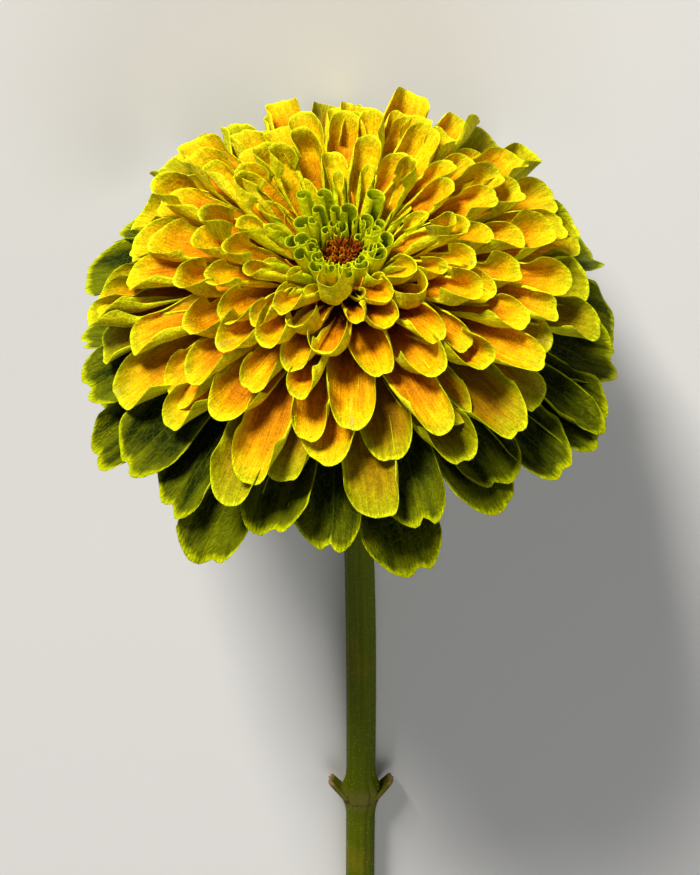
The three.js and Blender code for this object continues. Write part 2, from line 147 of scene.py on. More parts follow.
GOLD = {
    "first": 34, "count": 130, "rows": 28, "columns": 23, "crowding": 1.2, "thickness": 0.38,
    "root radius": (9.0, 7.0), "root height": (4.6, 12.4), "layers": (0.0, 14.0),
    "length": (43.5, 21.5), "half width": (6.7, 4.3), "rise": (30, 64), "droop": (-45, 34),
    "root curl": (0.6, 1.9), "tip curl": (1.75, 2.5), "even curl": (0.34, 0.5),
    "roll": (0.6, 0.8), "root width": 0.42, "end width": 0.95, "tip round": 0.27,
    "tip power": 2.5, "notch": 0.014, "wave": 0.12, "lip": 3.0, "crumple": 1.9,
    "lopside": 0.15, "vary lopside": 0.16,
    "vary length": 0.10, "vary width": 0.16, "vary slope": 7, "vary curl": 0.30,
    "vary twist": 12, "vary sweep": 0.07, "vary turn": 4, "vary flick": 26, "fold": 2.0,
}
HALF_ROLLED = {
    **PLAIN, "first": 164, "count": 14, "rows": 28, "columns": 29, "crowding": 1.0, "thickness": 0.36,
    "root radius": (7.6, 7.2), "root height": (12.2, 13.0), "length": (17.0, 14.2),
    "half width": (3.7, 3.3), "rise": (60, 68), "droop": (32, 48), "root curl": (2.9, 3.1),
    "tip curl": (2.75, 3.2), "even curl": (0.7, 0.8), "roll": (0.4, 0.2), "root width": 0.55,
    "end width": 0.95, "tip round": 0.32, "wave": 0.06, "lip": 0.6, "crumple": 0.8,
    "lopside": 0.22, "vary lopside": 0.12,
    "vary length": 0.10, "vary width": 0.16, "vary slope": 6, "vary curl": 0.16,
    "vary twist": 26, "vary sweep": 0.10, "vary turn": 6, "vary flick": 14,
}
ROLLED = {
    **PLAIN, "first": 178, "count": 42, "rows": 20, "columns": 29, "crowding": 1.1, "thickness": 0.34,
    "root radius": (7.3, 4.9), "root height": (12.4, 15.4), "length": (14.4, 4.8),
    "half width": (4.4, 2.2), "rise": (70, 86), "droop": (72, 96), "root curl": (3.3, 3.4),
    "tip curl": (3.4, 3.5), "even curl": (0.72, 0.72), "root width": 0.55,
    "end width": 1.0, "tip round": 0.05, "crumple": 0.5, "lopside": 0.30, "vary lopside": 0.12,
    "vary length": 0.13, "vary width": 0.18, "vary slope": 7, "vary curl": 0.07,
    "vary twist": 40, "vary sweep": 0.04, "vary turn": 5, "vary flick": 0,
}
CHAFF = {
    **PLAIN, "first": 230, "count": 150, "rows": 9, "columns": 4, "crowding": 0.5, "thickness": 0.14,
    "root radius": (4.5, 0.2), "root height": (15.2, 16.7), "length": (4.6, 3.4),
    "half width": (0.28, 0.20), "rise": (100, 84), "droop": (150, 40), "root curl": (1.4, 1.4),
    "tip curl": (1.8, 1.8), "even curl": (0.8, 0.8), "root width": 1.0,
    "end width": 0.25, "tip round": 0.3, "crumple": 1.4, "vary lopside": 0.1,
    "vary length": 0.35, "vary width": 0.4, "vary slope": 40, "vary curl": 0.5,
    "vary twist": 200, "vary sweep": 0.5, "vary turn": 50, "vary flick": 80,
}
STYLES = {
    **PLAIN, "first": 200, "count": 140, "rows": 10, "columns": 4, "crowding": 1.4, "thickness": 0.34,
    "fork": 0.20,
    "root radius": (8.2, 7.0), "root height": (9.8, 13.8), "length": (12.0, 9.5),
    "half width": (0.30, 0.30), "rise": (50, 66), "droop": (24, 56), "root curl": (1.0, 1.0),
    "tip curl": (1.0, 1.0), "even curl": (0.8, 0.8), "root width": 1.0,
    "end width": 0.6, "tip round": 0.2, "crumple": 0.8, "vary lopside": 0.1,
    "vary length": 0.2, "vary width": 0.2, "vary slope": 7, "vary curl": 0.3,
    "vary twist": 30, "vary sweep": 0.08, "vary turn": 5, "vary flick": 60,
}

# Irrational steps that give each petal its own variation, the same on every run
STEP = {
    "turn": 0.754877666, "length": 0.569840291, "width": 0.414213562, "slope": 0.732050808,
    "curl": 0.236067977, "lopside": 0.645751311, "sweep": 0.316624790, "tip": 0.605551275,
    "notch": 0.123105626, "wave": 0.358898944, "twist": 0.887482194, "flick": 0.541381265,
    "fold": 0.162277660, "tint": 0.472135955,
}
INDEX_STEP = 0.618033989


class Term:
    """A node's socket, which sums, products and functions can be written with."""

    def __init__(self, nodes, socket):
        self.nodes = nodes
        self.socket = socket

    def math(self, operation, *others):
        inputs = dict(enumerate((self,) + others))
        return self.nodes.add("ShaderNodeMath", {"operation": operation}, inputs)

    def __add__(self, other):
        return self.math("ADD", other)

    __radd__ = __add__

    def __sub__(self, other):
        return self.math("SUBTRACT", other)

    def __rsub__(self, other):
        return self.math("MULTIPLY_ADD", -1, other)

    def __mul__(self, other):
        return self.math("MULTIPLY", other)

    __rmul__ = __mul__

    def __truediv__(self, other):
        return self.math("DIVIDE", other)

    def __rtruediv__(self, other):
        return self.math("POWER", -1) * other

    def __pow__(self, other):
        return self.math("POWER", other)

    def __neg__(self):
        return self.math("MULTIPLY", -1)

    def __abs__(self):
        return self.math("ABSOLUTE")


class Nodes:
    """The nodes of one tree, each made by one call."""

    def __init__(self, tree):
        self.tree = tree

    def add(self, kind, settings=None, inputs=None, output=0):
        node = self.tree.nodes.new(kind)
        for name, value in (settings or {}).items():
            if name == "stops":
                set_stops(node.color_ramp, value)
            else:
                setattr(node, name, value)
        for key, value in (inputs or {}).items():
            socket = node.inputs[key]
            if isinstance(value, Term):
                self.tree.links.new(value.socket, socket)
            else:
                socket.default_value = value
        return Term(self, node.outputs[output])


def set_stops(ramp, stops):
    while len(ramp.elements) < len(stops):
        ramp.elements.new(0.5)
    for element, (position, colour) in zip(ramp.elements, stops):
        element.position = position
        element.color = (*colour, 1)


# Each of these works on numbers and on terms alike
def apply(operation, function, x):
    return x.math(operation) if isinstance(x, Term) else function(x)


def sin(x):
    return apply("SINE", math.sin, x)


def cos(x):
    return apply("COSINE", math.cos, x)


def sqrt(x):
    return apply("SQRT", math.sqrt, x)


def exp(x):
    return apply("EXPONENT", math.exp, x)


def fraction(x):
    return x.math("FRACT")


def mix(a, b, t):
    return a + (b - a) * t


def clamped(x, low, high):
    if isinstance(x, Term):
        return x.math("MAXIMUM", low).math("MINIMUM", high)
    return max(low, min(high, x))


def smooth(x, low, high):
    t = clamped((x - low) * (1 / (high - low)), 0, 1)
    return t * t * (3 - 2 * t)


def integral(f, x):
    """From 0 to x, by Simpson's rule on four steps."""
    return (x / 12) * (f(0) + 4 * f(x / 4) + 2 * f(x / 2) + 4 * f(3 * x / 4) + f(x))


def soft_rise(x, softness):
    """Never below 0, and close to x well above it."""
    return (x + sqrt(x * x + softness * softness)) * 0.5


def soft_step(x, softness):
    """Exactly 0 below -softness and exactly x above softness."""
    inner = clamped(x, -softness, softness) + softness
    return inner * inner / (4 * softness) + (x - softness).math("MAXIMUM", 0)


def geometry_tree(name, inputs):
    """A modifier's tree with named number inputs, its nodes, and the terms that read those inputs."""
    tree = bpy.data.node_groups.new(name, "GeometryNodeTree")
    face = tree.interface
    face.new_socket("Geometry", in_out="INPUT", socket_type="NodeSocketGeometry")
    face.new_socket("Geometry", in_out="OUTPUT", socket_type="NodeSocketGeometry")
    for label, value in inputs.items():
        kind = "NodeSocketInt" if isinstance(value, int) else "NodeSocketFloat"
        face.new_socket(label, in_out="INPUT", socket_type=kind).default_value = value
    nodes = Nodes(tree)
    entry = tree.nodes.new("NodeGroupInput")
    terms = {socket.name: Term(nodes, socket) for socket in entry.outputs if socket.name}
    return tree, nodes, terms


def tree_output(nodes, geometry):
    exit_node = nodes.tree.nodes.new("NodeGroupOutput")
    nodes.tree.links.new(geometry.socket, exit_node.inputs[0])


def grown(name, tree, inputs, place, start=None):
    """The mesh that a tree makes with these inputs, moved by place into the surface's frame."""
    data = start or bpy.data.meshes.new(name + "_start")
    seed = bpy.data.objects.new(name + "_start", data)
    bpy.context.scene.collection.objects.link(seed)
    modifier = seed.modifiers.new(name, "NODES")
    modifier.node_group = tree
    for item in tree.interface.items_tree:
        if item.in_out == "INPUT" and item.name in inputs:
            modifier[item.identifier] = inputs[item.name]
    bpy.context.view_layer.update()
    graph = bpy.context.evaluated_depsgraph_get()
    mesh = bpy.data.meshes.new_from_object(seed.evaluated_get(graph), depsgraph=graph)
    bpy.data.objects.remove(seed)
    mesh.transform(place)
    mesh.name = name
    return mesh


def placed(name, meshes, material, replaces):
    """One object of these meshes, riding on the part in place of a CAD node."""
    joined = bmesh.new()
    for mesh in meshes:
        joined.from_mesh(mesh)
    whole = bpy.data.meshes.new(name)
    joined.to_mesh(whole)
    joined.free()
    whole.materials.clear()
    whole.materials.append(material)
    whole.polygons.foreach_set("material_index", [0] * len(whole.polygons))
    whole.polygons.foreach_set("use_smooth", [True] * len(whole.polygons))
    piece = bpy.data.objects.new(name, whole)
    bpy.context.scene.collection.objects.link(piece)
    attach(piece, "root")
    if replaces:
        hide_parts(replaces)
    return piece


# Petals


def store(nodes, geometry, name, value):
    settings = {"data_type": "FLOAT", "domain": "POINT"}
    inputs = {"Geometry": geometry, "Name": name, "Value": value}
    return nodes.add("GeometryNodeStoreNamedAttribute", settings, inputs)


def read(nodes, name):
    return nodes.add("GeometryNodeInputNamedAttribute", {"data_type": "FLOAT"}, {"Name": name})


def separate(nodes, vector):
    return [nodes.add("ShaderNodeSeparateXYZ", {}, {0: vector}, axis) for axis in range(3)]


def combine(nodes, x, y, z):
    return nodes.add("ShaderNodeCombineXYZ", {}, {0: x, 1: y, 2: z})


def sheets(nodes, count, first, rows, columns):
    """Two coinciding grids for each index: u runs 0 to 1 along, v -1 to 1 across, and side is
    1 on the upper grid and -1 on the lower one. Points crowd towards the tip and the edges."""
    line = nodes.add("GeometryNodeMeshLine", {"mode": "OFFSET"}, {
        "Count": 2 * count, "Offset": (0, 0, 0)})
    place = nodes.add("GeometryNodeInputIndex")
    half = (place * 0.5).math("FLOOR")
    line = store(nodes, line, "index", half + first)
    line = store(nodes, line, "side", 1 - 2 * (place - 2 * half))
    size = {"Size X": 1, "Size Y": 2, "Vertices X": rows, "Vertices Y": columns}
    grid = nodes.add("GeometryNodeMeshGrid", {}, size)
    copies = nodes.add("GeometryNodeInstanceOnPoints", {}, {"Points": line, "Instance": grid})
    whole = nodes.add("GeometryNodeRealizeInstances", {}, {"Geometry": copies})
    x, y, _ = separate(nodes, nodes.add("GeometryNodeInputPosition"))
    whole = store(nodes, whole, "u", sin((x + 0.5) * (math.pi / 2)))
    return store(nodes, whole, "v", sin(y * (math.pi / 2)))


def closed_sheets(nodes, geometry, position, half_thickness):
    """Moves both grids to position, parts them by the thickness and joins them at the rim."""
    geometry = nodes.add("GeometryNodeSetPosition", {}, {"Geometry": geometry, "Position": position})
    side = read(nodes, "side")
    offset = nodes.add("ShaderNodeVectorMath", {"operation": "SCALE"}, {
        0: nodes.add("GeometryNodeInputNormal"), "Scale": half_thickness * side})
    geometry = nodes.add("GeometryNodeSetPosition", {}, {"Geometry": geometry, "Offset": offset})
    under = side.math("LESS_THAN", 0)
    geometry = nodes.add("GeometryNodeFlipFaces", {}, {"Mesh": geometry, "Selection": under})
    return nodes.add("GeometryNodeMergeByDistance", {}, {"Geometry": geometry, "Distance": 1e-4})


def finished(nodes, geometry, material):
    geometry = nodes.add("GeometryNodeSetMaterial", {}, {"Geometry": geometry, "Material": material})
    tree_output(nodes, geometry)


def variation(index, key):
    """From 0 to 1, from the index alone."""
    return fraction(STEP[key] * (index * index + index * INDEX_STEP + 1))


def swing(index, key):
    """From -1 to 1, from the index alone."""
    return 2 * variation(index, key) - 1


def shared_sway(nodes, turn, spread, layer):
    """From -0.5 to 0.5, and much alike for neighbours, as they press on each other."""
    place = combine(nodes, cos(turn) * spread, sin(turn) * spread, layer)
    return noise(nodes, place, 1.0, 1.0) - 0.5


def rim_thickness(nodes, u, v, thickness):
    """Half the thickness: even over the petal, and rounded off to nothing at its edges."""
    across = sqrt(1 - clamped(abs(v), 0, 1) ** 10)
    along = sqrt(clamped((1 - u ** 12) * (1 - (1 - u) ** 40), 0, 1))
    return across * along * thickness * 0.5


def outer_parting(radius):
    """Height of the surface between the outer and the gold petals."""
    out = radius - OUTER_PARTING["radius"]
    return OUTER_PARTING["height"] + OUTER_PARTING["slope"] * out - OUTER_PARTING["fall"] * out * out


def bend_clear(whorl, layer, x, y, z):
    """Keeps outer petals below and gold petals above the surface between them, each at its
    own layer's height from it."""
    limit = outer_parting(sqrt(x * x + y * y)) + layer
    if whorl is OUTER:
        limit = limit - CLEARANCE
        return limit - soft_rise(limit - z, PARTING_SOFTNESS)
    limit = limit + CLEARANCE
    return limit + soft_rise(z - limit, PARTING_SOFTNESS)


def bend_at_floor(index, y, z):
    """Petals that would go through the surface bend along it, back under the head."""
    layer = (index + 0.5).math("GREATER_THAN", OUTER["count"] / 2) * FLOOR_LAYER
    height = HEAD_BASE.z + FLOOR_UP[1] * y + FLOOR_UP[2] * z - layer - OUTER["thickness"] / 2
    lift = soft_step(height, FLOOR_SOFTNESS) - height
    slide = lift * FLOOR_SLIDE
    y = y + lift * FLOOR_UP[1] + slide * FLOOR_BACK[1]
    z = z + lift * FLOOR_UP[2] + slide * FLOOR_BACK[2]
    return y, z


def whorl_inputs(whorl):
    """The inputs of a whorl's tree, two for each pair."""
    inputs = {key: whorl[key] for key in ("first", "count", "rows", "columns")}
    for key, value in whorl.items():
        if isinstance(value, tuple):
            inputs[key + " outermost"] = float(value[0])
            inputs[key + " innermost"] = float(value[1])
        elif key not in inputs:
            inputs[key] = float(value)
    return inputs


def petal_outline(size, index, u, v, length, half_width):
    """How far along the petal a point lies, with the tip rounded and notched, and the width there."""
    notch = size["notch"] * (0.4 + 1.6 * variation(index, "notch"))
    notch_at = 0.35 * swing(index, "tip")
    tip_drop = size["tip round"] * abs(v) ** size["tip power"]
    off_notch = (v - notch_at) * (1 / NOTCH_WIDTH)
    tip_drop = tip_drop + notch * exp(-(off_notch * off_notch))
    s = u * (1 - TIP_CUT * tip_drop * half_width / length * u * u * u)
    taper = mix(1, size["end width"], smooth(s, WIDEST_AT, TIP_TAPER_END))
    return s, half_width * mix(size["root width"], 1, smooth(s, 0, WIDEST_AT)) * taper


def petal_section(nodes, size, between, index, u, v, s, width, half_width):
    """How far a point lies across and above the petal's middle line, once the petal is curled,
    rolled at its edges, rippled, creased and twisted."""
    folded = size["fold"] * variation(index, "fold") ** 4
    tip_curl = between("tip curl") * (1 + size["vary curl"] * swing(index, "curl")) + folded
    curl = mix(between("root curl"), tip_curl, smooth(s, CURL_EASES_FROM, 1))
    roll = between("roll") * (1 + 0.8 * swing(index, "curl")) * smooth(s, WAVE_FROM, 0.9)
    even = between("even curl")
    # The side that a later petal lies on is the flatter and the lower one
    lopside = size["lopside"] + size["vary lopside"] * swing(index, "lopside")
    twist = size["vary twist"] * math.radians(1) * (swing(index, "twist") + SHELTERED_TWIST)

    def curl_at(q):
        cube = q * q * q
        return curl * (even * q + (1 - even) * cube) * (1 + lopside * q) + roll * cube * cube * cube

    across = width * integral(lambda q: cos(curl_at(q)), v)
    lift = width * integral(lambda q: sin(curl_at(q)), v)
    phase = 2 * math.pi * variation(index, "wave")
    ripple = sin(WAVE_TURNS * s + phase + WAVE_SKEW * v) * v * v * smooth(s, WAVE_FROM, 1)
    lift = lift + 2 * size["wave"] * half_width * ripple
    lift = lift + size["lip"] * smooth(u, LIP_FROM, 1) * (0.8 + 0.7 * swing(index, "wave"))
    creases = noise(nodes, combine(nodes, u * 3, v * 1.3, index * 1.7), 1.3, 2.0)
    lift = lift + size["crumple"] * (creases - 0.5) * smooth(u, 0.1, 0.6)
    twisted = twist * s
    return across * cos(twisted) - lift * sin(twisted), across * sin(twisted) + lift * cos(twisted)


def petal_tree(name, whorl, material):
    """Makes a whorl's petals from sheets, with u along and v across each. A petal has its section
    across, bends along its length, and stands at its own turn round the head."""
    tree, nodes, size = geometry_tree(name, whorl_inputs(whorl))
    geometry = sheets(nodes, size["count"], size["first"], size["rows"], size["columns"])

    index = read(nodes, "index")
    u = read(nodes, "u")
    v = read(nodes, "v")
    rank = (index - whorl["first"]) / (whorl["count"] - 1)
    t = rank ** size["crowding"]
    fork = 0
    if "fork" in whorl:
        # Each two neighbours are the arms of one fork
        pair = (index * 0.5).math("FLOOR")
        fork = size["fork"] * (2 * (index - 2 * pair) - 1)
        index = pair

    def between(key):
        return mix(size[key + " outermost"], size[key + " innermost"], t)

    degree = math.radians(1)
    turn = index * GOLDEN_ANGLE + size["vary turn"] * degree * swing(index, "turn")
    length = between("length") * (1 + size["vary length"] * swing(index, "length"))
    half_width = between("half width") * (1 + size["vary width"] * swing(index, "width"))
    lean = OWN_SLOPE * swing(index, "slope") + SHARED_SLOPE * shared_sway(nodes, turn, 1.3, t * 1.6)
    slope_swing = size["vary slope"] * degree * lean
    rise = between("rise") * degree + SLOPE_AT_ROOT * slope_swing
    droop = between("droop") * degree + SLOPE_AT_TIP * slope_swing
    bend = OWN_FLICK * swing(index, "flick") + SHARED_FLICK * shared_sway(nodes, turn, 1.7, t * 2 + 5)
    flick = size["vary flick"] * degree * bend

    def slope_at(q):
        return mix(rise, droop, q) + flick * smooth(q, FLICK_FROM, 1)

    s, width = petal_outline(size, index, u, v, length, half_width)
    along = length * integral(lambda q: cos(slope_at(q)), s)
    raised = length * integral(lambda q: sin(slope_at(q)), s)
    across, lift = petal_section(nodes, size, between, index, u, v, s, width, half_width)
    across = across + (size["vary sweep"] * swing(index, "sweep") + fork) * length * s * s
    slope = slope_at(s)
    radius = between("root radius") + along - sin(slope) * lift
    x = radius * cos(turn) - across * sin(turn)
    y = radius * sin(turn) + across * cos(turn)
    z = between("root height") + raised + cos(slope) * lift
    if "layers" in whorl:
        z = bend_clear(whorl, between("layers"), x, y, z)
    if whorl is OUTER:
        y, z = bend_at_floor(index, y, z)

    geometry = store(nodes, geometry, "rank", (index - GOLD["first"]) / (GOLD["count"] - 1))
    geometry = store(nodes, geometry, "tint", variation(index, "tint"))
    half_thickness = rim_thickness(nodes, u, v, size["thickness"])
    geometry = closed_sheets(nodes, geometry, combine(nodes, x, y, z), half_thickness)
    finished(nodes, geometry, material)
    return tree


# Materials


def surface(name, roughness, **settings):
    """A new material, its nodes, and a call that joins terms to its shader's sockets."""
    material = bpy.data.materials.new(name)
    material.use_nodes = True
    nodes = Nodes(material.node_tree)
    shader = material.node_tree.nodes["Principled BSDF"]
    shader.inputs["Roughness"].default_value = roughness
    for socket, value in settings.items():
        shader.inputs[socket.replace("_", " ")].default_value = value

    def join(**terms):
        for socket, term in terms.items():
            material.node_tree.links.new(term.socket, shader.inputs[socket.replace("_", " ")])

    return material, nodes, join


def attribute(nodes, name):
    return nodes.add("ShaderNodeAttribute", {"attribute_name": name}, {}, "Fac")


def object_point(nodes):
    return nodes.add("ShaderNodeTexCoord", {}, {}, "Object")


def ramp(nodes, factor, stops):
    return nodes.add("ShaderNodeValToRGB", {"stops": stops}, {"Fac": factor})


def blended(nodes, factor, a, b, kind="MIX"):
    # The sockets for colours are the inputs 6 and 7 and the output 2
    colours = {6: a if isinstance(a, Term) else (*a, 1), 7: b if isinstance(b, Term) else (*b, 1)}
    settings = {"data_type": "RGBA", "blend_type": kind, "clamp_factor": True}
    return nodes.add("ShaderNodeMix", settings, {0: factor, **colours}, 2)


def noise(nodes, vector, scale, detail=3.0, roughness=0.55):
    inputs = {"Vector": vector, "Scale": scale, "Detail": detail, "Roughness": roughness}
    return nodes.add("ShaderNodeTexNoise", {}, inputs)


def bump(nodes, height, strength, distance):
    inputs = {"Height": height, "Strength": strength, "Distance": distance}
    return nodes.add("ShaderNodeBump", {}, inputs)


def textured(nodes, colour, grain, depth):
    """The colour, darkened and lightened by a grain."""
    shade = blended(nodes, grain, (1 - depth,) * 3, (1 + depth * 0.5,) * 3)
    return blended(nodes, 1.0, colour, shade, "MULTIPLY")


class PetalSurface:
    """Where a point lies on its petal, and the veins and grain that all petals have."""

    def __init__(self, nodes, vein_count, vein_breaks=1.6):
        self.nodes = nodes
        for name in ("u", "v", "rank", "tint", "side"):
            setattr(self, name, attribute(nodes, name))
        self.edge = abs(self.v)
        seed = self.tint * 40
        streaks = combine(nodes, self.v * vein_count, self.u * vein_breaks, seed)
        self.veins = noise(nodes, streaks, 3.2, 4.0, 0.62)
        self.cloud = noise(nodes, combine(nodes, self.v * 1.6, self.u * 1.9, seed + 9), 1.7, 3.0)
        self.grain = noise(nodes, object_point(nodes), 2800, 2.0, 0.7)
        self.face_up = smooth(self.side, -0.35, 0.35)

    def rim(self, across, along):
        """1 on the petal's rim, from these places across and along it outwards."""
        ragged = (self.veins - 0.5) * 0.12
        sides = 1 - smooth(self.edge + ragged, across, 0.99)
        return 1 - sides * (1 - smooth(self.u + ragged * 0.4, along, 0.998))


def gold_material():
    material, nodes, join = surface("gold_petal", 0.65, Specular_IOR_Level=0.05)
    petal = PetalSurface(nodes, 5)
    drift = (petal.cloud - 0.5) * 0.50 + (petal.tint - 0.5) * 0.22 + (petal.veins - 0.5) * 0.25
    puckers = noise(nodes, object_point(nodes), 800, 3.0, 0.6)
    along = petal.u + drift + 0.24 * smooth(petal.rank, 0.4, 1.0)
    # Both ramps darken towards the root: partly the petal's own deeper orange, partly painted shade
    # where the petals above cover it.
    trough_with_painted_shade = ramp(nodes, along, [
        (0.0, (0.10, 0.018, 0.0)), (0.40, (0.28, 0.072, 0.0)), (0.66, (0.53, 0.175, 0.0)),
        (0.84, (0.74, 0.30, 0.0)), (0.96, (0.88, 0.44, 0.0)), (1.0, (0.87, 0.54, 0.0))])
    olive_with_painted_shade = ramp(nodes, petal.u + drift, [
        (0.0, (0.07, 0.024, 0.0)), (0.5, (0.17, 0.080, 0.0)), (0.8, (0.29, 0.165, 0.0)),
        (1.0, (0.35, 0.27, 0.001))])
    outermost = 1 - smooth(petal.rank + (petal.tint - 0.5) * 0.20, 0.05, 0.24)
    trough_with_painted_shade = blended(nodes, outermost, trough_with_painted_shade, olive_with_painted_shade)
    yellow = blended(nodes, outermost, (0.90, 0.57, 0.002), (0.38, 0.34, 0.001))
    lime = blended(nodes, outermost * 0.6, (0.74, 0.68, 0.004), (0.42, 0.45, 0.001))
    flank = smooth(petal.edge + drift * 0.5, 0.34, 0.86) * smooth(petal.u, 0.3, 0.75)
    tip = smooth(petal.u + (petal.cloud - 0.5) * 0.12, 0.82, 0.96)
    face = blended(nodes, 1 - (1 - flank * 0.6) * (1 - tip * 0.75), trough_with_painted_shade, yellow)
    # A darker greenish band just within the rim is painted shade where the margin curls up.
    hollow_painted_shade = blended(nodes, petal.cloud, (0.34, 0.34, 0.0), (0.17, 0.22, 0.0))
    painted_shade_inside_rim = petal.rim(0.58, 0.87) * smooth(petal.u, 0.3, 0.8)
    face = blended(nodes, painted_shade_inside_rim * smooth(petal.cloud + drift, 0.30, 0.62) * 0.75, face, hollow_painted_shade)
    # The underside's orange to yellow is partly its own colour, partly painted glow of light through the
    # thin petal.
    back = blended(nodes, smooth(petal.u + drift, 0.15, 0.80), (0.66, 0.34, 0.0), (0.94, 0.82, 0.004))
    # Pale yellow patches on the underside are painted highlights.
    back = blended(nodes, smooth(petal.cloud, 0.46, 0.66) * 0.6, back, (1.0, 0.94, 0.03))
    back = blended(nodes, outermost * 0.7, back, (0.52, 0.54, 0.004))
    colour = blended(nodes, petal.face_up, back, face)
    inner = smooth(petal.rank, 0.92, 1.06)
    colour = blended(nodes, inner * (1 - petal.face_up * 0.6), colour, (0.66, 0.80, 0.002))
    margin = petal.rim(0.66, 0.88) * smooth(petal.u, 0.25, 0.7)
    colour = blended(nodes, margin * 0.45, colour, lime)
    # The bright lime line on the rim is partly the rim's own colour, partly painted glow of light
    # through the thin edge.
    rim = petal.rim(0.89, 0.97) * smooth(petal.u, 0.05, 0.5)
    colour = blended(nodes, rim * 0.95, colour, (0.76, 0.82, 0.006))
    blemish = smooth(petal.cloud + (petal.grain - 0.5) * 0.5, 0.62, 0.74) * smooth(petal.u, 0.80, 0.97)
    colour = blended(nodes, blemish * smooth(petal.tint, 0.5, 0.8) * 0.55, colour, (0.66, 0.36, 0.16))
    colour = textured(nodes, colour, smooth(petal.grain, 0.25, 0.7), 0.30)
    colour = textured(nodes, colour, smooth(petal.veins, 0.25, 0.7), 0.22)
    colour = textured(nodes, colour, smooth(puckers, 0.3, 0.7), 0.16)
    height = petal.veins * 0.7 + petal.grain * 0.4 + puckers * 1.3
    join(Base_Color=colour, Normal=bump(nodes, height, 0.8, 0.0004))
    return material


def outer_material():
    material, nodes, join = surface("outer_petal", 0.6, Specular_IOR_Level=0.04)
    petal = PetalSurface(nodes, 4, 4.0)
    mottle = noise(nodes, object_point(nodes), 520, 4.0, 0.7)
    wander = (petal.cloud - 0.5) * 0.5
    net = nodes.add("ShaderNodeTexVoronoi", {"feature": "DISTANCE_TO_EDGE"}, {
        "Vector": combine(nodes, petal.v * 11 + wander * 2, petal.u * 26 + wander * 5, petal.tint * 40),
        "Scale": 1.0, "Randomness": 0.9})
    middle = 1 - smooth(abs(petal.v + wander * 0.15), 0.01, 0.05)
    vein = (1 - smooth(net, 0.03, 0.20)) * 0.30 + middle * 0.45
    patch = smooth(petal.cloud + (mottle - 0.5) * 1.3 + (petal.tint - 0.5) * 0.3, 0.34, 0.84)
    face = blended(nodes, patch, (0.008, 0.016, 0.0), (0.041, 0.055, 0.0))
    face = blended(nodes, vein, face, (0.085, 0.105, 0.0))
    margin = smooth(petal.edge + (petal.cloud - 0.5) * 0.5, 0.55, 1.05)
    warm = smooth(petal.u + (petal.cloud - 0.5) * 0.8, 0.74, 1.10)
    face = blended(nodes, 1 - (1 - margin * 0.7) * (1 - warm * 0.75), face, (0.20, 0.225, 0.0))
    back = blended(nodes, patch, (0.08, 0.12, 0.002), (0.19, 0.24, 0.003))
    back = blended(nodes, vein * 0.8, back, (0.27, 0.32, 0.01))
    colour = blended(nodes, petal.face_up, back, face)
    colour = blended(nodes, petal.rim(0.88, 0.955), colour, (0.54, 0.60, 0.0))
    colour = textured(nodes, colour, petal.grain, 0.25)
    colour = textured(nodes, colour, smooth(petal.veins, 0.2, 0.75), 0.20)
    height = petal.veins * 0.5 + petal.grain * 0.3 + mottle * 1.2 - vein * 1.4
    join(Base_Color=colour, Normal=bump(nodes, height, 0.8, 0.0005))
    return material


def rolled_material():
    material, nodes, join = surface("rolled_petal", 0.55, Specular_IOR_Level=0.07)
    petal = PetalSurface(nodes, 7)
    drift = (petal.cloud - 0.5) * 0.5
    puckers = noise(nodes, object_point(nodes), 1100, 3.0, 0.6)
    ripe = smooth(petal.u + drift * 2 + (puckers - 0.5) * 0.8, 0.1, 0.85)
    back = blended(nodes, ripe, (0.36, 0.45, 0.0), (1.0, 1.0, 0.002))
    # In the tube the colour darkens towards the root: painted shade deep in the tube.
    inside_with_painted_shade = blended(nodes, petal.u, (0.04, 0.045, 0.0), (0.46, 0.54, 0.0))
    colour = blended(nodes, petal.face_up, back, inside_with_painted_shade)
    colour = blended(nodes, petal.rim(0.80, 0.90), colour, (0.68, 0.78, 0.0))
    colour = blended(nodes, petal.rim(0.90, 0.955), colour, (0.90, 1.0, 0.01))
    colour = textured(nodes, colour, petal.grain, 0.35)
    colour = textured(nodes, colour, petal.veins, 0.35)
    height = petal.veins * 0.7 + petal.grain * 0.4 + puckers * 1.6
    join(Base_Color=colour, Normal=bump(nodes, height, 0.8, 0.0004))
    return material


def bristle_material():
    material, nodes, join = surface("chaff_bristle", 0.6, Specular_IOR_Level=0.1)
    u = attribute(nodes, "u")
    tint = attribute(nodes, "tint")
    dark = ramp(nodes, u, [
        (0.0, (0.012, 0.001, 0.0)), (0.45, (0.09, 0.010, 0.0)), (0.85, (0.26, 0.036, 0.0)),
        (1.0, (0.42, 0.10, 0.0))])
    light = ramp(nodes, u, [
        (0.0, (0.05, 0.006, 0.0)), (0.5, (0.36, 0.08, 0.0)), (1.0, (0.66, 0.26, 0.004))])
    join(Base_Color=blended(nodes, smooth(tint, 0.72, 0.88), dark, light))
    return material


def style_material():
    material, nodes, join = surface("style_fork", 0.5, Specular_IOR_Level=0.3)
    u = attribute(nodes, "u")
    join(Base_Color=ramp(nodes, u, [
        (0.0, (0.16, 0.02, 0.0)), (0.6, (0.52, 0.14, 0.0)), (1.0, (0.86, 0.42, 0.0))]))
    return material


def receptacle_material():
    material, nodes, join = surface("receptacle_skin", 0.8, Specular_IOR_Level=0.1)
    patch = noise(nodes, object_point(nodes), 700, 3.0)
    join(Base_Color=blended(nodes, patch, (0.05, 0.02, 0.001), (0.10, 0.05, 0.002)),
         Normal=bump(nodes, patch, 0.8, 0.0006))
    return material


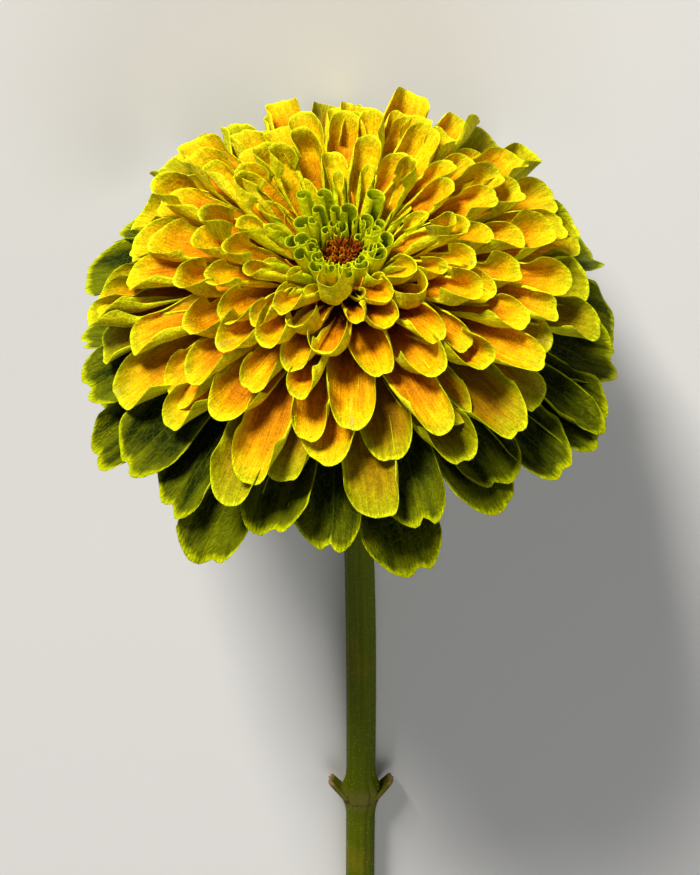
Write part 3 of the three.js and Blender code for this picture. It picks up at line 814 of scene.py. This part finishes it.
def bract_material():
    material, nodes, join = surface("bract", 0.5, Specular_IOR_Level=0.15)
    petal = PetalSurface(nodes, 6)
    green = blended(nodes, petal.cloud, (0.085, 0.125, 0.002), (0.20, 0.25, 0.006))
    pale = smooth(petal.u, 0.6, 0.9) * 0.5
    green = blended(nodes, pale, green, (0.32, 0.36, 0.03))
    green = blended(nodes, petal.rim(0.84, 0.90), green, (0.035, 0.018, 0.008))
    green = textured(nodes, green, petal.veins, 0.35)
    join(Base_Color=green, Normal=bump(nodes, petal.veins + petal.grain * 0.2, 0.6, 0.0003))
    return material


def stem_material():
    material, nodes, join = surface("stem_skin", 0.55, Specular_IOR_Level=0.06)
    along = attribute(nodes, "along")
    around = attribute(nodes, "around")
    dry = attribute(nodes, "dry")
    streaks = noise(nodes, combine(nodes, cos(around) * 4, sin(around) * 4, along * 0.05), 2.5, 4.0, 0.6)
    cloud = noise(nodes, object_point(nodes), 60, 3.0)
    fine = noise(nodes, object_point(nodes), 1600, 2.0)
    green = blended(nodes, streaks, (0.055, 0.080, 0.0), (0.15, 0.18, 0.0))
    green = blended(nodes, smooth(cloud, 0.52, 0.75) * 0.5, green, (0.22, 0.17, 0.005))
    at_node = smooth(abs(along - (NODE_AT + 1)) * -1, -4.5, -1.0)
    green = blended(nodes, at_node * 0.45, green, (0.20, 0.15, 0.035))
    scar = smooth(abs(along - (NODE_AT + 2.4)) * -1, -0.5, -0.2)
    green = blended(nodes, scar * 0.6, green, (0.07, 0.045, 0.012))
    green = blended(nodes, dry, green, (0.30, 0.20, 0.08))
    pith = smooth(along, STEM_LENGTH + 0.05, STEM_LENGTH + 0.12)
    heart = blended(nodes, fine, (0.42, 0.46, 0.20), (0.60, 0.62, 0.36))
    green = blended(nodes, pith, green, heart)
    green = textured(nodes, green, fine, 0.2)
    join(Base_Color=green, Normal=bump(nodes, streaks + fine * 0.4, 0.5, 0.0003))
    return material


def hair_material():
    material, nodes, join = surface("stem_hair", 0.4)
    cloud = noise(nodes, object_point(nodes), 300, 1.0)
    join(Base_Color=blended(nodes, cloud, (0.34, 0.38, 0.06), (0.56, 0.60, 0.20)))
    return material


# Petals, disc and receptacle as pieces

# The gold petals make two pieces, each from one petal to another of the whorl
GOLD_BANDS = {"gold_petals_low": (0, 65), "gold_petals_high": (65, 130)}


def petals():
    outer = outer_material()
    tree = petal_tree("outer_petals", OUTER, outer)
    mesh = grown("outer_petals", tree, {}, HEAD_PLACE)
    placed("outer_petals_fine", [mesh], outer, "outer_petals")
    gold = gold_material()
    tree = petal_tree("gold_petals", GOLD, gold)
    for name, (low, high) in GOLD_BANDS.items():
        band = {"first": GOLD["first"] + low, "count": high - low}
        mesh = grown(name, tree, band, HEAD_PLACE)
        placed(name, [mesh], gold, "gold_petals")
    tree = petal_tree("half_rolled_petals", HALF_ROLLED, gold)
    mesh = grown("half_rolled_petals", tree, {}, HEAD_PLACE)
    placed("half_rolled_petals", [mesh], gold, "gold_petals")
    rolled = rolled_material()
    tree = petal_tree("rolled_petals", ROLLED, rolled)
    mesh = grown("rolled_petals", tree, {}, HEAD_PLACE)
    placed("rolled_petals_fine", [mesh], rolled, "rolled_petals")


def turned(name, profile, sides, place):
    """A closed mesh from a profile of radius and height, which starts and ends on the axis."""
    shape = bmesh.new()
    rings = []
    for radius, height in profile:
        count = sides if radius else 1
        angles = [2 * math.pi * k / sides for k in range(count)]
        rings.append([
            shape.verts.new((radius * math.cos(angle), radius * math.sin(angle), height))
            for angle in angles])
    for lower, upper in zip(rings, rings[1:]):
        for k in range(sides):
            corners = [lower[k % len(lower)], lower[(k + 1) % len(lower)],
                       upper[(k + 1) % len(upper)], upper[k % len(upper)]]
            shape.faces.new(list(dict.fromkeys(corners)))
    bmesh.ops.recalc_face_normals(shape, faces=shape.faces)
    mesh = bpy.data.meshes.new(name)
    shape.to_mesh(mesh)
    shape.free()
    mesh.transform(place)
    return mesh


# Profiles of radius and height
COLLAR = [(0, -0.7), (10.4, -0.7), (12.4, 0.9), (12.6, 1.3), (0, 1.4)]
RECEPTACLE = [
    (0, 0.5), (9.0, 0.5), (12.4, 3.4), (13.4, 5.2), (11.5, 9.5), (8.2, 12.5), (5.6, 14.6), (0, 15.0),
]
DISC_DOME = [(0, 14.6), (4.8, 14.6), (4.7, 15.4), (3.6, 16.4), (1.9, 16.9), (0, 17.0)]


def disc():
    bristle = bristle_material()
    dome = turned("disc_dome", DISC_DOME, 40, HEAD_PLACE)
    tree = petal_tree("chaff", CHAFF, bristle)
    chaff = grown("chaff", tree, {}, HEAD_PLACE)
    placed("disc_chaff", [dome, chaff], bristle, "disc")
    style = style_material()
    tree = petal_tree("styles", STYLES, style)
    forks = grown("styles", tree, {}, HEAD_PLACE)
    placed("style_forks", [forks], style, None)
    skin = receptacle_material()
    placed("receptacle", [turned("receptacle", RECEPTACLE, 48, HEAD_PLACE)], skin, None)


# Involucre


def cup_wall(p):
    """Radius and height of the cup's wall, from its base (0) to its rim (1) and on past it."""
    angle = clamped(p, 0, 1) * (math.pi / 2)
    radius = mix(CUP_BASE_RADIUS, CUP_RADIUS, sin(angle))
    past = (clamped(p, 1, 2) - 1) * (CUP_TOP - CUP_BASE)
    return radius, mix(CUP_BASE, CUP_TOP, 1 - cos(angle)) + past


def bract_tree(material):
    inputs = {"count": 8, "first": 0, "start": 0.1, "length": 0.4, "half width": 3.0, "turn": 0.0}
    tree, nodes, size = geometry_tree("bracts", inputs)
    geometry = sheets(nodes, size["count"], size["first"], 18, 17)
    index = read(nodes, "index")
    u = read(nodes, "u")
    v = read(nodes, "v")
    p = size["start"] + size["length"] * u * (1 - 0.42 * v * v)
    radius, height = cup_wall(p)
    creases = noise(nodes, combine(nodes, u * 2, v * 1.2, index * 1.7), 1.5, 2.0) - 0.5
    out = radius - 0.2 + 0.9 * u * u - 0.3 * v * v + 0.4 * creases
    angle = 2 * math.pi * (index + size["turn"]) / size["count"]
    angle = angle + v * size["half width"] * (1 - 0.3 * u * u) / radius
    geometry = store(nodes, geometry, "tint", variation(index + size["turn"], "tint"))
    position = combine(nodes, out * cos(angle), out * sin(angle), height)
    geometry = closed_sheets(nodes, geometry, position, rim_thickness(nodes, u, v, 0.7))
    finished(nodes, geometry, material)
    return tree


def involucre():
    material = bract_material()
    tree = bract_tree(material)
    wall = [cup_wall(step / 8) for step in range(9)]
    meshes = [turned("cup", [(0, CUP_BASE), *wall, (0, CUP_TOP)], 48, HEAD_PLACE),
              turned("collar", COLLAR, 48, HEAD_PLACE)]
    for row in BRACT_ROWS:
        meshes.append(grown("bracts", tree, row, HEAD_PLACE))
    placed("involucre_bracts", meshes, material, "involucre")


# Stem


def stem_direction(s):
    slope = FACE_ELEVATION * (1 - clamped((s - STEM_BEND[0]) / (STEM_BEND[1] - STEM_BEND[0]), 0, 1))
    turn = FACE_TURN * (1 - smooth(s, *STEM_BEND))
    level = math.cos(slope)
    return Vector((-level * math.sin(turn), level * math.cos(turn), -math.sin(slope)))


def stem_points():
    """The middle of the stem at each millimetre, from the receptacle's base to the cut end."""
    points = [HEAD_BASE.copy()]
    for k in range(STEM_LENGTH):
        points.append(points[-1] + stem_direction(k + 0.5))
    return points


def stem_radius(s):
    radius = mix(STEM_NECK_RADIUS, STEM_RADIUS, smooth(s, STEM_NECK_AT, STEM_FULL_AT))
    at_top = 1 - smooth(s, STEM_TOP_END, STEM_NECK_AT)
    return radius + (STEM_TOP_RADIUS - STEM_NECK_RADIUS) * at_top


def node_swelling(s):
    """How much wider the stem is on each side towards the two leaves that it bore."""
    from_node = (s - NODE_AT) * (1 / NODE_HALF_LENGTH)
    return NODE_SWELLING * exp(-(from_node * from_node))


def stem_tree(material):
    inputs = {"sides": 110, "ribs": STEM_RIBS, "rib depth": 0.03, "start": STEM_START}
    tree, nodes, size = geometry_tree("stem", inputs)
    curve = nodes.add("GeometryNodeMeshToCurve", {}, {"Mesh": size["Geometry"]})
    along = nodes.add("GeometryNodeSplineParameter", {}, {}, "Length") + size["start"]
    curve = store(nodes, curve, "along", along)
    along = read(nodes, "along")
    # The cut closes over the last third of a millimetre
    closing = sqrt(1 - clamped((along - STEM_LENGTH) / CUT_DEPTH, 0, 0.999))
    circle = {"Resolution": size["sides"], "Radius": 1.0}
    ring = nodes.add("GeometryNodeCurvePrimitiveCircle", {}, circle)
    angle = nodes.add("GeometryNodeSplineParameter") * (2 * math.pi)
    ring = store(nodes, ring, "around", angle)
    waves = 1 + size["rib depth"] * cos(read(nodes, "around") * size["ribs"])
    ribbed = nodes.add("ShaderNodeVectorMath", {"operation": "SCALE"}, {
        0: nodes.add("GeometryNodeInputPosition"), "Scale": waves})
    ring = nodes.add("GeometryNodeSetPosition", {}, {"Geometry": ring, "Position": ribbed})
    skin = nodes.add("GeometryNodeCurveToMesh", {}, {
        "Curve": curve, "Profile Curve": ring, "Scale": stem_radius(along) * closing, "Fill Caps": True})
    facing_aside, _, _ = separate(nodes, nodes.add("GeometryNodeInputNormal"))
    swelling = combine(nodes, facing_aside * node_swelling(along), 0, 0)
    skin = nodes.add("GeometryNodeSetPosition", {}, {"Geometry": skin, "Offset": swelling})
    finished(nodes, skin, material)
    return tree


def stub_tree(material):
    """What is left of the two leaves that were stripped from the node."""
    inputs = {"length": 7.5, "half width": 3.0, "thickness": 1.1}
    tree, nodes, size = geometry_tree("leaf_stubs", inputs)
    geometry = sheets(nodes, 2, 0, 20, 17)
    index = read(nodes, "index")
    u = read(nodes, "u")
    v = read(nodes, "v")
    hand = 1 - 2 * index
    torn = noise(nodes, combine(nodes, v * 2.2, index * 5, 0.0), 2.0, 2.0) - 0.5
    reach = u * (1 + 0.35 * torn * u) * size["length"]
    along = 2 - 0.7 * reach - 0.8 * v * v
    out = stem_radius(NODE_AT) + NODE_SWELLING - 1.1 + 0.55 * reach - 0.9 * v * v
    above = v * size["half width"] * (1 - 0.35 * u)
    geometry = store(nodes, geometry, "along", along + NODE_AT)
    geometry = store(nodes, geometry, "around", v)
    geometry = store(nodes, geometry, "dry", smooth(u + 0.3 * torn, 0.78, 0.96))
    position = combine(nodes, out * hand, along, above)
    geometry = closed_sheets(nodes, geometry, position, rim_thickness(nodes, u, v, size["thickness"]))
    finished(nodes, geometry, material)
    return tree


def hair_tree(material):
    inputs = {"density": 0.55, "length": 0.55, "thickness": 0.045, "seed": 7}
    tree, nodes, size = geometry_tree("stem_hairs", inputs)
    # Hairs keep clear of the surface and of the cut
    height = separate(nodes, nodes.add("GeometryNodeInputPosition"))[2]
    clear = height.math("GREATER_THAN", 1.2) * read(nodes, "along").math("LESS_THAN", STEM_LENGTH - 0.8)
    scattered = nodes.add("GeometryNodeDistributePointsOnFaces", {}, {
        "Mesh": size["Geometry"], "Selection": clear, "Density": size["density"], "Seed": size["seed"]})
    upright = Term(nodes, scattered.socket.node.outputs["Rotation"])
    # A random node takes a vector's limits as inputs 0 and 1, and a number's as 2 and 3
    lean = nodes.add("FunctionNodeRandomValue", {"data_type": "FLOAT_VECTOR"}, {
        0: (-0.6, -0.6, 0), 1: (0.6, 0.6, 0), "Seed": 3})
    lean = nodes.add("FunctionNodeEulerToRotation", {}, {0: lean})
    rotation = nodes.add("FunctionNodeRotateRotation", {"rotation_space": "LOCAL"}, {
        0: upright, 1: lean})
    stretch = nodes.add("FunctionNodeRandomValue", {"data_type": "FLOAT"}, {
        2: 0.5, 3: 1.3, "Seed": 5}, 1)
    hair = nodes.add("GeometryNodeMeshCone", {}, {
        "Vertices": 3, "Radius Top": 0.0, "Radius Bottom": size["thickness"], "Depth": size["length"]})
    copies = nodes.add("GeometryNodeInstanceOnPoints", {}, {
        "Points": scattered, "Instance": hair, "Rotation": rotation,
        "Scale": combine(nodes, 1, 1, stretch)})
    finished(nodes, nodes.add("GeometryNodeRealizeInstances", {}, {"Geometry": copies}), material)
    return tree


def stem():
    material = stem_material()
    start = math.ceil(STEM_START)
    points = stem_points()[start:]
    cut = [points[-1] + stem_direction(STEM_LENGTH) * CUT_DEPTH * step for step in CUT_STEPS]
    path = bpy.data.meshes.new("stem_path")
    path.from_pydata(points + cut, [(k, k + 1) for k in range(len(points) + len(cut) - 1)], [])
    to_metres = Matrix.Scale(MM, 4)
    skin = grown("stem", stem_tree(material), {"start": float(start)}, Matrix(), path)
    hair = hair_material()
    hairs = grown("stem_hairs", hair_tree(hair), {}, to_metres, skin.copy())
    skin.transform(to_metres)
    along = stem_direction(NODE_AT)
    side = Vector((along.y, -along.x, 0)).normalized()
    axes = Matrix((side, along, side.cross(along))).transposed().to_4x4()
    at_node = to_metres @ Matrix.Translation(stem_points()[NODE_AT]) @ axes
    stubs = grown("leaf_stubs", stub_tree(material), {}, at_node)
    placed("stem_ribbed", [skin, stubs], material, "stem")
    placed("stem_hairs", [hairs], hair, None)


petals()
disc()
involucre()
stem()

# Camera, light and floor

DISC_TOP = 18.5
DISC_PIXEL = (341, 255)
PHOTO_SIZE = (700, 875)
MM_PER_PIXEL = 0.2
LENS = 100
SENSOR = 36
VIEW_FROM_AXIS = math.radians(34)
VIEW_ROLL = math.radians(4.3)
FLOOR_SIZE = 8
WORLD_COLOUR = (0.9, 0.95, 1.0, 1)
WORLD_STRENGTH = 0.06


def camera():
    place = HEAD_PLACE.to_3x3()
    towards = (place @ Vector((0, -math.sin(VIEW_FROM_AXIS), math.cos(VIEW_FROM_AXIS)))).normalized()
    up = (place @ Vector((0, math.cos(VIEW_FROM_AXIS), math.sin(VIEW_FROM_AXIS)))).normalized()
    right = up.cross(towards)
    up, right = (
        up * math.cos(VIEW_ROLL) + right * math.sin(VIEW_ROLL),
        right * math.cos(VIEW_ROLL) - up * math.sin(VIEW_ROLL),
    )
    pixel = MM_PER_PIXEL * MM
    distance = LENS / SENSOR * PHOTO_SIZE[1] * pixel
    disc = HEAD_PLACE @ Vector((0, 0, DISC_TOP))
    aside = right * ((PHOTO_SIZE[0] / 2 - DISC_PIXEL[0]) * pixel)
    above = up * ((DISC_PIXEL[1] - PHOTO_SIZE[1] / 2) * pixel)
    data = bpy.data.cameras.new("camera")
    data.lens = LENS
    data.sensor_width = SENSOR
    data.clip_start = 0.01
    seen_from = bpy.data.objects.new("camera", data)
    seen_from.matrix_world = Matrix((right, up, towards)).transposed().to_4x4()
    seen_from.matrix_world.translation = disc + towards * distance + aside + above
    bpy.context.scene.collection.objects.link(seen_from)
    bpy.context.scene.camera = seen_from


def lamp(name, direction, distance, size, power, colour=(1, 1, 1)):
    """A square lamp that lights the disc from this direction."""
    data = bpy.data.lights.new(name, "AREA")
    data.energy = power
    data.size = size
    data.color = colour
    source = bpy.data.objects.new(name, data)
    towards = Vector(direction).normalized()
    source.location = HEAD_PLACE @ Vector((0, 0, DISC_TOP)) + towards * distance
    source.rotation_euler = towards.to_track_quat("Z", "Y").to_euler()
    bpy.context.scene.collection.objects.link(source)


def studio():
    material, nodes, join = surface("studio_floor", 0.85)
    tone = noise(nodes, object_point(nodes), 3.0, 2.0)
    join(Base_Color=blended(nodes, tone, (0.77, 0.76, 0.74), (0.81, 0.80, 0.78)))
    bpy.ops.mesh.primitive_plane_add(size=FLOOR_SIZE)
    floor = bpy.context.object
    floor.name = "floor"
    floor.data.materials.append(material)
    lamp("key", (0.40, -0.98, 0.45), distance=3.6, size=0.95, power=228, colour=(1.0, 0.97, 0.92))
    lamp("fill", (-0.9, -0.2, 0.6), distance=1.3, size=0.7, power=1.5)
    lamp("back", (-0.3, 1.0, 0.9), distance=2.0, size=1.5, power=12)
    world = bpy.data.worlds.new("studio")
    world.use_nodes = True
    background = world.node_tree.nodes["Background"]
    background.inputs["Color"].default_value = WORLD_COLOUR
    background.inputs["Strength"].default_value = WORLD_STRENGTH
    bpy.context.scene.world = world
    bpy.context.scene.view_settings.view_transform = "Standard"


camera()
studio()
